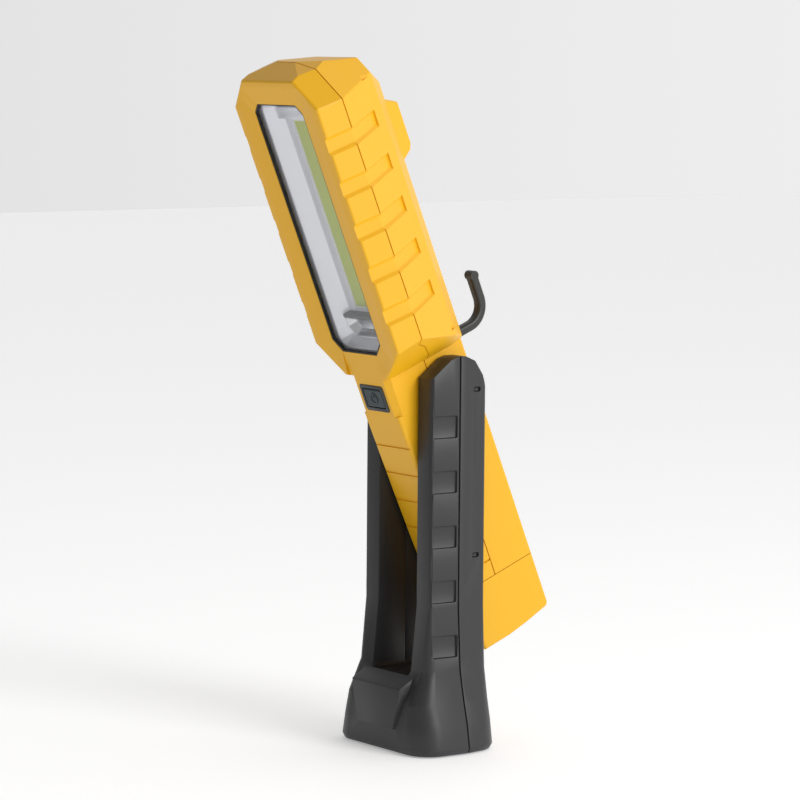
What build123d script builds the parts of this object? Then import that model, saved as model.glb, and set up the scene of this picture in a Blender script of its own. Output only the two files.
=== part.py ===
from build123d import *

import math
import os

# Battery work light with a folding stand.
#
# The stand is a U: a flared foot with two arms. The lamp hangs between the arms on two stub pins, and
# folds down into the U as the inner half of the grip.
# Row frame: +Z up, the foot rests on Z = 0, the lamp looks towards -Y, X runs across.
# Lamp frame, used for every lamp piece below: origin on the pivot axis, +Z along the lamp towards the
# head, -Y out of the front face. LAMP_PLACE puts it into the row frame, leaning forward by LEAN.
# All sizes are in millimetres, and angles in degrees.

# ---- Driving dimensions ---------------------------------------------------------------------------
PIVOT_HEIGHT = 136.6
LEAN = 22.4
WALL = 2.0
PART_GAP = 0.3          # visible joint between two pieces that move apart

# Lamp, outside
FRONT_Y = -20.8         # plane of the window's edge, the neck and the switch
RIM_Y = -21.8           # the head's outer rim stands forward of it
REAR_Y = 20.8
RIDGE_Y = -9.7          # the widest line of the head, where its two shells meet
HEAD_FRONT_HALF = 29.3
HEAD_RIDGE_HALF = 31.2
HEAD_TOP = 158.4
HEAD_RIDGE_TOP = 162.0
HEAD_CORNER = 10.9      # the cut corner's size across; along the lamp it is CORNER_SLOPE times this
RIDGE_CORNER = 14.5
CORNER_SLOPE = 1.055
CROWN_HALF = 6.0        # half width of the level middle of the head's arched top
CROWN_SLOPE = 0.21      # fall of the top on both sides of that middle
SHOULDER = 27.8         # where the head starts to widen from the neck
SHOULDER_SLOPE = 0.90
SHOULDER_START = 14.6   # half width of the flat under the head
SHELL_STEP_TOP = 39.7   # the side joint leaves the ridge here and steps back to the pivot line
SHELL_STEP_BOTTOM = 30.0

HANDLE_HALF = 12.4
HANDLE_BOTTOM = -99.6
HANDLE_REAR_BOTTOM = -96.4
HANDLE_FRONT_LINE = ((12.5, -20.8), (-30.0, -19.7), (-52.0, -18.9), (-90.0, -16.9))   # (z, y)
CAP_JOINT = -71.7       # where the battery cap meets the handle
EDGE_RADIUS = 1.2       # of the head
HANDLE_RADIUS = 1.6
BOSS_RADIUS = 1.4
END_BEVEL = 1.2
NECK_BEVEL = 2.4
NECK_BEVEL_BOTTOM = 10.5
GRIP_COUNT = 5
GRIP_FIRST = -3.6
GRIP_PITCH = 12.8
GRIP_WIDTH = 1.4
GRIP_DEPTH = 0.5
NOTCH_LONG = 3.6
NOTCH_HIGH = 1.8
NOTCH_DEPTH = 1.0
HANDLE_SLIT = (-1.9, -64.6)                      # (y, z) of a thin slit in each side of the handle
SLIT_HIGH = 0.9
HEAD_NOTCHES = ((8.4, 148.2), (13.5, 36.5))     # (y, z) of small latch notches in the rear shell

# Finger valleys along the sides of the head
VALLEY_COUNT = 5
VALLEY_FIRST = 57.0
VALLEY_PITCH = 18.5
VALLEY_LENGTH = 11.0
VALLEY_DEPTH = 1.2
VALLEY_RUN = 3.0        # length of the slope at each end of a valley
VALLEY_CLEAR = 1.5
VALLEY_REAR_Y = 8.0

# Window, and what lies behind it
FRONT_WALL = 2.4
WINDOW_HALF = 16.5
WINDOW_BOTTOM = 39.1
WINDOW_TOP = 147.5
WINDOW_TOP_CORNER = 3.6
WINDOW_BOTTOM_CORNER = 5.1
DISH_MARGIN = 8.5       # width of the sloping border between the window and the rim
GASKET_LIP = 0.6
GASKET_THICK = 0.5
GASKET_MARGIN = 3.0
LENS_THICK = 1.6
LENS_MARGIN = 2.4
REFLECTOR_DEPTH = 7.6
REFLECTOR_SKIN = 0.9
STRIP_HALF = 8.0
STRIP_BOTTOM = 54.0
STRIP_TOP = 137.6
STRIP_THICK = 0.7
BOARD_THICK = 1.2
BOARD_MARGIN = 1.4
SINK_THICK = 1.5
SINK_MARGIN = 4.0
FIN_COUNT = 5
FIN_HEIGHT = 5.0
FIN_THICK = 1.2
FIN_SPAN = 20.0

# Switch on the neck
SWITCH_HALF = 8.1
SWITCH_BOTTOM = 12.5
SWITCH_TOP = 24.3
SURROUND_RIM = 1.5
SURROUND_PROUD = 0.3
SURROUND_DEPTH = 0.9
BUTTON_GAP = 0.25
BUTTON_PROUD = 0.7
BUTTON_TRAVEL = 0.8
BUTTON_FLANGE = 1.0
TACT_HEIGHT = 1.9
DRIVER_HALF = 8.8
DRIVER_BOTTOM = 3.0
DRIVER_TOP = 34.0
DRIVER_THICK = 1.4

# Batteries: four AA cells, two side by side in two rows
CELL_RADIUS = 7.25
CELL_LENGTH = 50.5
CELL_GAP = 0.4
CELL_SIDE_GAP = 0.2
CASSETTE_WALL = 1.1
CASSETTE_HALF = 8.7
CASSETTE_TOP = 16.4
CASSETTE_END_ROOM = 3.4
CASSETTE_CENTRE_Y = 2.4

# Battery cap
CAP_SKIRT = 0.8
CAP_SKIRT_LENGTH = 6.5
CAP_SKIRT_GAP = 0.15
SEAL_HEIGHT = 1.4
SEAL_GAP = 0.25
SEAL_THICK = 0.9

# Pivot between lamp and stand
PIN_RADIUS = 4.0
PIN_RUNNING_GAP = 0.05
PIN_COLLAR_RADIUS = 5.6
PIN_COLLAR_THICK = 1.5
BUSH_RADIUS = 6.0
BUSH_FLANGE_RADIUS = 7.6
BUSH_FLANGE_THICK = 0.9
WASHER_RADIUS = 8.0
WASHER_THICK = 0.8

# Magnet boss on the back of the head
BOSS_HALF = 13.0
BOSS_TOP_HALF = 11.0
BOSS_RISE = 7.0
BOSS_TOP = 133.5
BOSS_BOTTOM = 106.5
MAGNET_CENTRE = 120.0
MAGNET_RADIUS = 8.0
MAGNET_THICK = 5.0
CUP_WALL = 1.2
COVER_THICK = 1.0

# Hook, in a bay across the rear of the neck
HOOK_X = 8.5
HOOK_Y = 17.8
HOOK_LEG_Z = 29.0
HOOK_REACH = 19.5
HOOK_BEND = 9.0
HOOK_TIP_Z = 48.0
HOOK_WIDE = 4.6
HOOK_THICK = 4.0
HOOK_BARREL_RADIUS = 2.5
HOOK_BARREL_LENGTH = 10.0
HOOK_PIN_RADIUS = 1.2
HOOK_PIN_REACH = 2.2
HOOK_GAP = 0.3
BAY_DEPTH = 6.0
BAY_FLOOR = 1.5
BAY_TOP = 52.5
BAY_RIGHT = 11.3

# Stand
GAP_HALF = 13.4         # half of the space between the arms
ARM_HALF = 22.2
ARM_FRONT_HALF = 23.1
CREASE_HALF = 23.8
ARM_DEPTH = 14.2
ARM_FRONT_TOP = 154.7
ARM_REAR_TOP = 150.0
ARM_CREST = 163.3
ARM_CORNER = 1.6
GAP_FLOOR = 31.6
GAP_FLOOR_FILLET = 2.0
LINE_WIDTH = 0.45       # groove that shows where two shells meet
LINE_DEPTH = 0.8
STAND_WALL = 2.4
SHELL_LIFT = 0.5        # the pad stands this far below the shells
FOOT_FRONT = 24.6
FOOT_REAR = 18.2
FOOT_FRONT_HALF = 32.0
FOOT_CREASE_HALF = 32.4
FOOT_REAR_HALF = 29.4
FOOT_EDGE = 1.3         # softening of the foot's bottom edge, inwards
FOOT_EDGE_RISE = 2.6
FOOT_CORNER = 12.0
POCKET_COUNT = 5
POCKET_LOWEST = 44.3
POCKET_PITCH = 22.6
POCKET_HEIGHT = 9.0
POCKET_DEPTH = 1.2
POCKET_REAR = 1.6
POCKET_LIP = 0.9        # wall left at the arm's front corner
ARM_CORE_BOTTOM = 44.0
ARM_CORE_TOP = 118.0
ARM_CORE_HALF_DEPTH = 9.5
STAND_NOTCHES = ((9.0, 149.5), (9.0, 81.0))     # (y, z) of small latch notches in the rear shell
PANEL_TOP = 27.3
PANEL_BOTTOM = 10.0
PANEL_TOP_HALF = 17.0
PANEL_BOTTOM_HALF = 12.6
PANEL_TOP_Y = -24.9
PANEL_BOTTOM_Y = -25.3
PANEL_LEDGE_Y = -17.6   # where the panel's sloping ledge meets the floor of the gap
PLATE_THICK = 2.0
PLATE_GAP = 0.2
PAD_THICK = 1.2
POST_RADIUS = 3.2
POST_X = 15.5
POST_FRONT_Y = -13.0
POST_REAR_Y = 9.5
BASE_MAGNET_RADIUS = 10.0
BASE_MAGNET_THICK = 5.0

# Screws
SCREW_RADIUS = 1.5
SCREW_HEAD_RADIUS = 2.7
SCREW_HEAD_THICK = 1.8
SMALL_SCREW_RADIUS = 1.0
SMALL_SCREW_HEAD_RADIUS = 1.9
SMALL_SCREW_HEAD_THICK = 1.2
STAND_SCREW_X = 17.6
STAND_SCREW_HEIGHTS = (37.5, 125.0)
STAND_SCREW_TIP_Y = -9.0
HOUSING_SCREW_PLACES = ((-16.0, 60.0), (16.0, 60.0), (-9.0, 150.0), (9.0, 150.0))
HOUSING_POST_RADIUS = 3.0
HOUSING_SCREW_LENGTH = 22.0

LAMP_PLACE = Pos(0, 0, PIVOT_HEIGHT) * Rot(LEAN, 0, 0)
FAR = 400.0


# ---- Plain shapes ---------------------------------------------------------------------------------
def block(low, high):
    """A box between its lowest and highest corners."""
    size = [b - a for a, b in zip(low, high)]
    middle = [(a + b) / 2 for a, b in zip(low, high)]
    return Pos(*middle) * Box(*size)


def rod(radius, start, end):
    """A round bar between two points."""
    run = Vector(*end) - Vector(*start)
    return extrude(Plane(origin=start, z_dir=run) * Circle(radius), run.length)


def tube(radius, bore, start, end):
    """A round bar with a hole through it."""
    return rod(radius, start, end) - rod(bore, start, end)


def prism_x(points, x_low, x_high):
    """An outline given in (y, z), extruded across."""
    face = make_face(Polyline(points, close=True).edges())
    return extrude(Plane.YZ.offset(x_low) * face, x_high - x_low)


def prism_y(points, y_low, y_high):
    """An outline given in (x, z), extruded from front to rear."""
    face = make_face(Polyline(points, close=True).edges())
    return extrude(Plane.XZ.offset(-y_high) * face, y_high - y_low)


def mirrored(points):
    """A right-hand half outline, completed with its mirror image in x."""
    return [*points, *[(-x, z) for x, z in reversed(points)]]


def both_sides(shape):
    """The shape and its mirror image in x, as one group."""
    return Compound([*shape.solids(), *mirror(shape, Plane.YZ).solids()])


# ---- Lamp: outer form -----------------------------------------------------------------------------
HEAD_LEVELS = (
    # depth, half width, top, corner
    (RIM_Y, HEAD_FRONT_HALF, HEAD_TOP, HEAD_CORNER),
    (RIDGE_Y, HEAD_RIDGE_HALF, HEAD_RIDGE_TOP, RIDGE_CORNER),
    (13.5, 20.2, 154.6, 6.0),
    (REAR_Y, 13.0, 144.0, 3.0),
)


def head_outline(half, top, corner, inset):
    """Half of the head's outline at one depth."""
    half -= inset
    top -= inset
    start = min(SHOULDER_START - inset, half - 0.5)
    return [
        (start, SHOULDER),
        (half, SHOULDER + inset + SHOULDER_SLOPE * (half - start)),
        (half, top - corner * CORNER_SLOPE),
        (half - corner, top),
    ]


def crown_slopes(inset):
    """What is taken off the head's top so that it falls away on both sides of its middle."""
    top = HEAD_RIDGE_TOP - inset
    fall = CROWN_SLOPE * HEAD_RIDGE_HALF
    outer = CROWN_HALF + HEAD_RIDGE_HALF
    points = [(CROWN_HALF, top), (outer, top - fall), (outer, FAR), (CROWN_HALF, FAR)]
    return both_sides(prism_y(points, -FAR, FAR))


def flat_top_head(inset):
    """The head before its top is sloped, moved inwards by inset on every side."""
    sections = []
    for depth, half, top, corner in HEAD_LEVELS:
        depth = min(max(depth, RIM_Y + inset), REAR_Y - inset)
        points = mirrored(head_outline(half, top, corner, inset))
        face = make_face(Polyline(points, close=True).edges())
        sections.append(Plane.XZ.offset(-depth) * face)
    return loft(sections, ruled=True)


def head_solid(inset=0.0):
    """The head, or the same form moved inwards by inset on every side."""
    return flat_top_head(inset) - crown_slopes(inset)


def rounded_head():
    """The head with soft edges."""
    form = flat_top_head(0.0)
    return fillet(form.edges(), EDGE_RADIUS) - crown_slopes(0.0)


def rounded_handle():
    """The handle with its long edges and its end rounded."""
    form = handle_solid()
    long_edges = [edge for edge in form.edges() if abs(edge.tangent_at(0.5).X) < 0.5]
    return fillet(long_edges, HANDLE_RADIUS)


def handle_solid(inset=0.0):
    """The neck and handle as one bar that tapers in depth."""
    rear = REAR_Y - inset
    low = HANDLE_BOTTOM + inset
    front = [(y + inset, z) for z, y in HANDLE_FRONT_LINE]
    end = front[-1][0]
    inside_head = SHOULDER + 12.0
    side = [
        (front[0][0], inside_head),
        *front,
        (end, low + END_BEVEL),
        (end + END_BEVEL, low),
        (-2.0, low),
        (8.0, low + 0.9),
        (rear - END_BEVEL, HANDLE_REAR_BOTTOM + inset - 0.6),
        (rear, HANDLE_REAR_BOTTOM + inset + 0.9),
        (rear, inside_head),
    ]
    return prism_x(side, -(HANDLE_HALF - inset), HANDLE_HALF - inset)


def boss_solid(inset=0.0):
    """The raised seat for the magnet on the back of the head."""
    crown = REAR_Y + BOSS_RISE - inset
    side = [
        (REAR_Y - 4.0, BOSS_BOTTOM + inset),
        (REAR_Y, BOSS_BOTTOM + inset),
        (crown - 1.4, BOSS_BOTTOM + 2.4 + inset),
        (crown, BOSS_BOTTOM + 5.0 + inset),
        (crown, BOSS_TOP - 4.0 - inset),
        (REAR_Y, BOSS_TOP - inset),
        (REAR_Y - 4.0, BOSS_TOP - inset),
    ]
    form = prism_x(side, -BOSS_HALF + inset, BOSS_HALF - inset)
    slope = (BOSS_HALF - BOSS_TOP_HALF) / BOSS_RISE
    edge = [
        (BOSS_HALF - inset + slope * 4.0, REAR_Y - 4.0),
        (BOSS_TOP_HALF - inset, REAR_Y + BOSS_RISE),
        (-BOSS_TOP_HALF + inset, REAR_Y + BOSS_RISE),
        (-BOSS_HALF + inset - slope * 4.0, REAR_Y - 4.0),
    ]
    face = make_face(Polyline(edge, close=True).edges())
    return form & extrude(face, FAR)


def valley_section(base, outward, z, depth):
    """Cross-section of one valley cutter, standing on a point of the head's side."""
    floor_half = VALLEY_LENGTH / 2 - VALLEY_RUN
    corners = ((-floor_half, -depth), (floor_half, -depth), (VALLEY_LENGTH / 2, 0.0), (-VALLEY_LENGTH / 2, 0.0))
    points = [base + outward * out + Vector(0, 0, z + along) for along, out in corners]
    points[2] += outward * VALLEY_CLEAR
    points[3] += outward * VALLEY_CLEAR
    return make_face(Polyline(points, close=True).edges())


def valleys():
    """Cutters that leave a shallow finger valley with sloping ends across each side of the head."""
    rim = Vector(HEAD_FRONT_HALF, RIM_Y)
    ridge = Vector(HEAD_RIDGE_HALF, RIDGE_Y)
    rear = Vector(HEAD_LEVELS[2][1], HEAD_LEVELS[2][0])
    front_run = (ridge - rim).normalized()
    rear_run = (rear - ridge).normalized()
    front_out = Vector(front_run.Y, -front_run.X)
    rear_out = Vector(rear_run.Y, -rear_run.X)
    rear_end = ridge + rear_run * ((VALLEY_REAR_Y - RIDGE_Y) / rear_run.Y)
    cuts = []
    for index in range(VALLEY_COUNT):
        z = VALLEY_FIRST + index * VALLEY_PITCH
        front_faces = [
            valley_section(rim - front_run * 4, front_out, z, VALLEY_DEPTH),
            valley_section(ridge + front_run * 3, front_out, z, VALLEY_DEPTH),
        ]
        rear_faces = [
            valley_section(ridge - rear_run * 3, rear_out, z, VALLEY_DEPTH),
            valley_section(rear_end, rear_out, z, VALLEY_DEPTH * 0.75),
        ]
        for faces in (front_faces, rear_faces):
            cuts.append(both_sides(loft(faces, ruled=True)))
    return cuts


def handle_front(z):
    """Depth of the handle's front face at one height."""
    line = HANDLE_FRONT_LINE
    for (z_high, y_high), (z_low, y_low) in zip(line, line[1:]):
        if z >= z_low:
            return y_high + (y_low - y_high) * (z_high - z) / (z_high - z_low)
    return line[-1][1]


def neck_bevels():
    """Wide bevels on the two front edges of the neck."""
    reach = NECK_BEVEL + 1.0
    corner = [
        (HANDLE_HALF - NECK_BEVEL, FRONT_Y),
        (HANDLE_HALF - NECK_BEVEL, FRONT_Y - reach),
        (HANDLE_HALF + reach, FRONT_Y - reach),
        (HANDLE_HALF + reach, FRONT_Y + NECK_BEVEL),
        (HANDLE_HALF, FRONT_Y + NECK_BEVEL),
    ]
    face = make_face(Polyline(corner, close=True).edges())
    wedge = extrude(Plane.XY.offset(NECK_BEVEL_BOTTOM) * face, SHOULDER - NECK_BEVEL_BOTTOM)
    return both_sides(wedge)


def grip_grooves():
    """Shallow grooves across the front of the handle."""
    grooves = []
    for index in range(GRIP_COUNT):
        middle = GRIP_FIRST - index * GRIP_PITCH
        floor = handle_front(middle) + GRIP_DEPTH
        low = (-FAR, -FAR, middle - GRIP_WIDTH / 2)
        high = (FAR, floor, middle + GRIP_WIDTH / 2)
        grooves.append(block(low, high))
    return grooves


def dish():
    """What is taken off the head's front so that it slopes from the rim down to the window."""
    window = make_face(Polyline(window_outline(GASKET_LIP), close=True).edges())
    rim = make_face(Polyline(window_outline(DISH_MARGIN), close=True).edges())
    slope = loft([Plane.XZ.offset(-FRONT_Y) * window, Plane.XZ.offset(-RIM_Y) * rim], ruled=True)
    flat = block((-HANDLE_HALF, RIM_Y - 1.0, SHOULDER - 5.0), (HANDLE_HALF, FRONT_Y, WINDOW_BOTTOM))
    return slope, flat


def side_notch(y, z, half_width, height=NOTCH_HIGH):
    """A small rectangular latch notch, the same on both sides."""
    low = (half_width - NOTCH_DEPTH, y - NOTCH_LONG / 2, z - height / 2)
    high = (FAR, y + NOTCH_LONG / 2, z + height / 2)
    return both_sides(block(low, high))


def head_half_width(y):
    """Half width of the head's rear shell at one depth."""
    y_front, half_front = HEAD_LEVELS[1][:2]
    y_rear, half_rear = HEAD_LEVELS[2][:2]
    return half_front + (half_rear - half_front) * (y - y_front) / (y_rear - y_front)


def rear_half_space(forward=0.0):
    """Everything behind the joint between the two housing shells, or behind a copy of it moved forward."""
    side = [
        (RIDGE_Y - forward, FAR),
        (RIDGE_Y - forward, SHELL_STEP_TOP),
        (RIDGE_Y + 4.7 - forward, SHELL_STEP_TOP - 3.2),
        (-forward, SHELL_STEP_BOTTOM),
        (-forward, -FAR),
        (FAR, -FAR),
        (FAR, FAR),
    ]
    return prism_x(side, -FAR, FAR)


# ---- Lamp: depth of each layer behind the window --------------------------------------------------
GASKET_FRONT = RIM_Y + WALL
LENS_FRONT = GASKET_FRONT + GASKET_THICK
REFLECTOR_FRONT = LENS_FRONT + LENS_THICK
REFLECTOR_FLOOR = REFLECTOR_FRONT + REFLECTOR_DEPTH
BOARD_FRONT = REFLECTOR_FLOOR
BOARD_BACK = BOARD_FRONT + BOARD_THICK
SINK_BACK = BOARD_BACK + SINK_THICK


def window_outline(grow):
    """The window's outline, moved outwards by grow."""
    half = WINDOW_HALF + grow
    low = WINDOW_BOTTOM - grow
    high = WINDOW_TOP + grow
    return mirrored([
        (half - WINDOW_BOTTOM_CORNER, low),
        (half, low + WINDOW_BOTTOM_CORNER),
        (half, high - WINDOW_TOP_CORNER),
        (half - WINDOW_TOP_CORNER, high),
    ])


def window_block(grow, front, back):
    """A plate of the window's outline between two depths."""
    return prism_y(window_outline(grow), front, back)


def strip_block(grow, front, back):
    """A plate of the light strip's outline between two depths."""
    half = STRIP_HALF + grow
    return block((-half, front, STRIP_BOTTOM - grow), (half, back, STRIP_TOP + grow))


def window_pieces():
    """Gasket, lens, reflector, light strip, its board and the heat sink."""
    flange = window_block(GASKET_MARGIN, GASKET_FRONT, LENS_FRONT)
    lip = window_block(GASKET_LIP, FRONT_Y + 0.2, LENS_FRONT)
    opening = window_block(0.0, FRONT_Y, LENS_FRONT)
    gasket = flange + lip - opening

    lens = window_block(LENS_MARGIN, LENS_FRONT, REFLECTOR_FRONT)

    tray = window_block(LENS_MARGIN, REFLECTOR_FRONT, REFLECTOR_FRONT + REFLECTOR_SKIN)
    tray += window_block(REFLECTOR_SKIN, REFLECTOR_FRONT, REFLECTOR_FLOOR)
    mouth = make_face(Polyline(window_outline(-0.4), close=True).edges())
    floor = make_face(Polyline(window_outline(-4.6), close=True).edges())
    hollow = loft([
        Plane.XZ.offset(-REFLECTOR_FRONT) * mouth,
        Plane.XZ.offset(-(REFLECTOR_FLOOR - REFLECTOR_SKIN)) * floor,
    ])
    tray = tray - hollow - strip_block(0.2, REFLECTOR_FRONT, REFLECTOR_FLOOR)

    board = strip_block(BOARD_MARGIN, BOARD_FRONT, BOARD_BACK)
    strip = strip_block(0.0, BOARD_FRONT - STRIP_THICK, BOARD_FRONT)

    sink = window_block(-REFLECTOR_SKIN, BOARD_BACK, SINK_BACK)
    sink += fins()
    screws = []
    for x, z in sink_screw_places():
        shaft = rod(SMALL_SCREW_RADIUS, (x, REFLECTOR_FLOOR, z), (x, SINK_BACK, z))
        head = rod(SMALL_SCREW_HEAD_RADIUS, (x, SINK_BACK, z), (x, SINK_BACK + SMALL_SCREW_HEAD_THICK, z))
        screws.append(shaft + head)
        sink -= rod(SMALL_SCREW_RADIUS, (x, BOARD_BACK, z), (x, SINK_BACK, z))
    return {
        "lens_gasket": gasket,
        "lens": lens,
        "reflector": tray,
        "cob_board": board,
        "cob_phosphor": strip,
        "heat_sink": sink,
        "heat_sink_screws": Compound(screws),
    }


def fins():
    """Cooling fins along the back of the heat sink."""
    bars = []
    for index in range(FIN_COUNT):
        x = -FIN_SPAN / 2 + index * FIN_SPAN / (FIN_COUNT - 1)
        low = (x - FIN_THICK / 2, SINK_BACK, STRIP_BOTTOM + SINK_MARGIN)
        high = (x + FIN_THICK / 2, SINK_BACK + FIN_HEIGHT, STRIP_TOP - SINK_MARGIN)
        bars.append(block(low, high))
    return bars


def sink_screw_places():
    """Centres of the screws that hold the heat sink, as (x, z)."""
    low = WINDOW_BOTTOM + 7.5
    high = WINDOW_TOP - 5.0
    return [(-6.0, low), (6.0, low), (-6.0, high), (6.0, high)]


# ---- Lamp: housing shells -------------------------------------------------------------------------
def housing_shells():
    """The yellow front and rear shells, open at the bottom where the battery cap goes on."""
    outer = rounded_head() + rounded_handle() + fillet(boss_solid().edges(), BOSS_RADIUS)
    outer -= neck_bevels()
    for cut in (*dish(), *grip_grooves(), *valleys()):
        outer -= cut
    for y, z in HEAD_NOTCHES:
        outer -= side_notch(y, z, head_half_width(y))
    outer -= side_notch(*HANDLE_SLIT, HANDLE_HALF, SLIT_HIGH)
    cavity = head_solid(WALL) + handle_solid(WALL)
    shell = outer - cavity
    shell += bay_block() & outer
    shell -= bay_hollow()
    shell += housing_posts() & cavity

    below_joint = block((-FAR, -FAR, -FAR), (FAR, FAR, CAP_JOINT))
    shell -= below_joint
    shell -= seal_ring(SEAL_GAP, CAP_JOINT, CAP_JOINT + SEAL_HEIGHT + SEAL_GAP)

    shell -= window_block(GASKET_LIP, FRONT_Y - 1.0, GASKET_FRONT)
    shell -= surround_seat()
    for side in (-1, 1):
        shell -= rod(BUSH_RADIUS, (side * HANDLE_HALF, 0, 0), (side * (HANDLE_HALF - WALL), 0, 0))
    shell -= magnet_room()
    for screw in housing_screws():
        shell -= screw
    shell -= hook_pin()
    rear_space = rear_half_space()
    line = rear_half_space(LINE_WIDTH) - rear_space - head_solid(LINE_DEPTH) - handle_solid(LINE_DEPTH)
    return shell - rear_space - line, shell & rear_space


def bay_block():
    """Solid stock behind the neck, from which the hook's bay is cut."""
    floor = REAR_Y - BAY_DEPTH - BAY_FLOOR
    low = HOOK_LEG_Z - HOOK_BARREL_LENGTH / 2 - HOOK_PIN_REACH - 1.0
    return block((-HEAD_FRONT_HALF, floor, low), (HEAD_FRONT_HALF, REAR_Y, BAY_TOP + BAY_FLOOR))


def bay_hollow():
    """The bay that the hook folds into, open at the rear and on the left."""
    low = HOOK_LEG_Z - HOOK_BARREL_LENGTH / 2 - HOOK_GAP
    return block((-FAR, REAR_Y - BAY_DEPTH, low), (BAY_RIGHT, REAR_Y + 1.0, BAY_TOP))


def housing_posts():
    """Screw posts that run from the rear shell's wall to the front shell."""
    posts = [rod(HOUSING_POST_RADIUS, (x, RIDGE_Y + 2.0, z), (x, REAR_Y, z)) for x, z in HOUSING_SCREW_PLACES]
    return Compound([post.solid() for post in posts])


def housing_screws():
    """Long screws that hold the two housing shells together."""
    screws = []
    for x, z in HOUSING_SCREW_PLACES:
        seat = RIDGE_Y + HOUSING_SCREW_LENGTH - SCREW_HEAD_THICK
        shaft = rod(SCREW_RADIUS, (x, RIDGE_Y + 2.5, z), (x, seat, z))
        head = rod(SCREW_HEAD_RADIUS, (x, seat, z), (x, seat + SCREW_HEAD_THICK, z))
        screws.append(shaft + head)
    return screws


# ---- Lamp: switch and electronics -----------------------------------------------------------------
def switch_plate(shrink, front, back):
    """A plate of the switch's outline, shrunk by a margin, between two depths."""
    half = SWITCH_HALF - shrink
    plate = block((-half, front, SWITCH_BOTTOM + shrink), (half, back, SWITCH_TOP - shrink))
    return fillet(plate.edges().filter_by(Axis.Y), 1.4)


def surround_seat():
    """The hole and the shallow seat in the front wall for the switch."""
    seat = switch_plate(0.0, FRONT_Y - 1.0, FRONT_Y + SURROUND_DEPTH)
    return seat + switch_plate(SURROUND_RIM, FRONT_Y - 1.0, GASKET_FRONT + 2.0)


def switch_pieces():
    """Switch surround and button."""
    rim = switch_plate(0.0, FRONT_Y - SURROUND_PROUD, FRONT_Y + SURROUND_DEPTH)
    rim -= switch_plate(SURROUND_RIM, FRONT_Y - 2.0, FRONT_Y + 2.0)
    crown = FRONT_Y - BUTTON_PROUD
    flange_front = FRONT_Y + FRONT_WALL + PART_GAP
    flange_back = flange_front + BUTTON_FLANGE
    button = switch_plate(SURROUND_RIM + BUTTON_GAP, crown, flange_front)
    button += switch_plate(SURROUND_RIM - 0.8, flange_front, flange_back)
    return rim, button, flange_back


def driver_pieces(button_back):
    """Driver board, the small switch on it, and its screws."""
    plunger = button_back + BUTTON_TRAVEL + 0.1
    front = plunger + TACT_HEIGHT
    back = front + DRIVER_THICK
    board = block((-DRIVER_HALF, front, DRIVER_BOTTOM), (DRIVER_HALF, back, DRIVER_TOP))
    middle = (SWITCH_BOTTOM + SWITCH_TOP) / 2
    tact = block((-3.0, plunger + 0.8, middle - 3.0), (3.0, front, middle + 3.0))
    tact += rod(1.7, (0, plunger, middle), (0, plunger + 0.8, middle))
    screws = []
    for x, z in ((-6.5, DRIVER_TOP - 2.4), (6.5, DRIVER_TOP - 2.4)):
        post_front = FRONT_Y + FRONT_WALL
        board -= rod(SMALL_SCREW_RADIUS, (x, front, z), (x, back, z))
        shaft = rod(SMALL_SCREW_RADIUS, (x, post_front + 0.4, z), (x, back, z))
        head = rod(SMALL_SCREW_HEAD_RADIUS, (x, back, z), (x, back + SMALL_SCREW_HEAD_THICK, z))
        screws.append(shaft + head)
    return board, tact, screws


# ---- Lamp: batteries ------------------------------------------------------------------------------
CASSETTE_HALF_DEPTH = CELL_RADIUS * 2 + CELL_GAP / 2 + 0.3
CASSETTE_FRONT = CASSETTE_CENTRE_Y - CASSETTE_HALF_DEPTH
CASSETTE_REAR = CASSETTE_CENTRE_Y + CASSETTE_HALF_DEPTH
CELLS_TOP = CASSETTE_TOP - CASSETTE_WALL - CASSETTE_END_ROOM / 2
CELLS_BOTTOM = CELLS_TOP - 2 * CELL_LENGTH
CASSETTE_BOTTOM = CELLS_BOTTOM - CASSETTE_END_ROOM / 2 - CASSETTE_WALL
COLUMN_OFFSET = CELL_RADIUS + CELL_GAP / 2


def battery_pieces():
    """Cassette, four cells, end springs and end plates."""
    low = (-CASSETTE_HALF, CASSETTE_FRONT, CASSETTE_BOTTOM)
    high = (CASSETTE_HALF, CASSETTE_REAR, CASSETTE_TOP)
    cassette = block(low, high)
    room_half = CELL_RADIUS + CELL_SIDE_GAP
    room_depth = 2 * CELL_RADIUS + CELL_GAP / 2
    room_low = (-room_half, CASSETTE_CENTRE_Y - room_depth, CASSETTE_BOTTOM + CASSETTE_WALL)
    room_high = (room_half, CASSETTE_CENTRE_Y + room_depth, CASSETTE_TOP - CASSETTE_WALL)
    cassette -= block(room_low, room_high)
    cells = []
    springs = []
    plates = []
    for side in (-1, 1):
        y = CASSETTE_CENTRE_Y + side * COLUMN_OFFSET
        cassette -= block((-FAR, y - 5.0, CELLS_BOTTOM + 4.0), (FAR, y + 5.0, CELLS_TOP - 4.0))
        for row in range(2):
            bottom = CELLS_BOTTOM + row * CELL_LENGTH
            cells.append(battery_cell(y, bottom))
        springs.append(contact_spring(y, CASSETTE_BOTTOM + CASSETTE_WALL, CELLS_BOTTOM))
        plate_bottom = CELLS_TOP + 0.2
        plate_top = CASSETTE_TOP - CASSETTE_WALL
        plates.append(block((-5.0, y - 5.0, plate_bottom + 0.8), (5.0, y + 5.0, plate_top)))
    return cassette, Compound(cells), Compound(springs), Compound([plate.solid() for plate in plates])


def battery_cell(y, bottom):
    """One round cell with its raised positive end."""
    top = bottom + CELL_LENGTH
    can = rod(CELL_RADIUS, (0, y, bottom + 0.1), (0, y, top - 1.4))
    nub = rod(2.7, (0, y, top - 1.4), (0, y, top))
    return (can + nub).solid()


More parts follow.
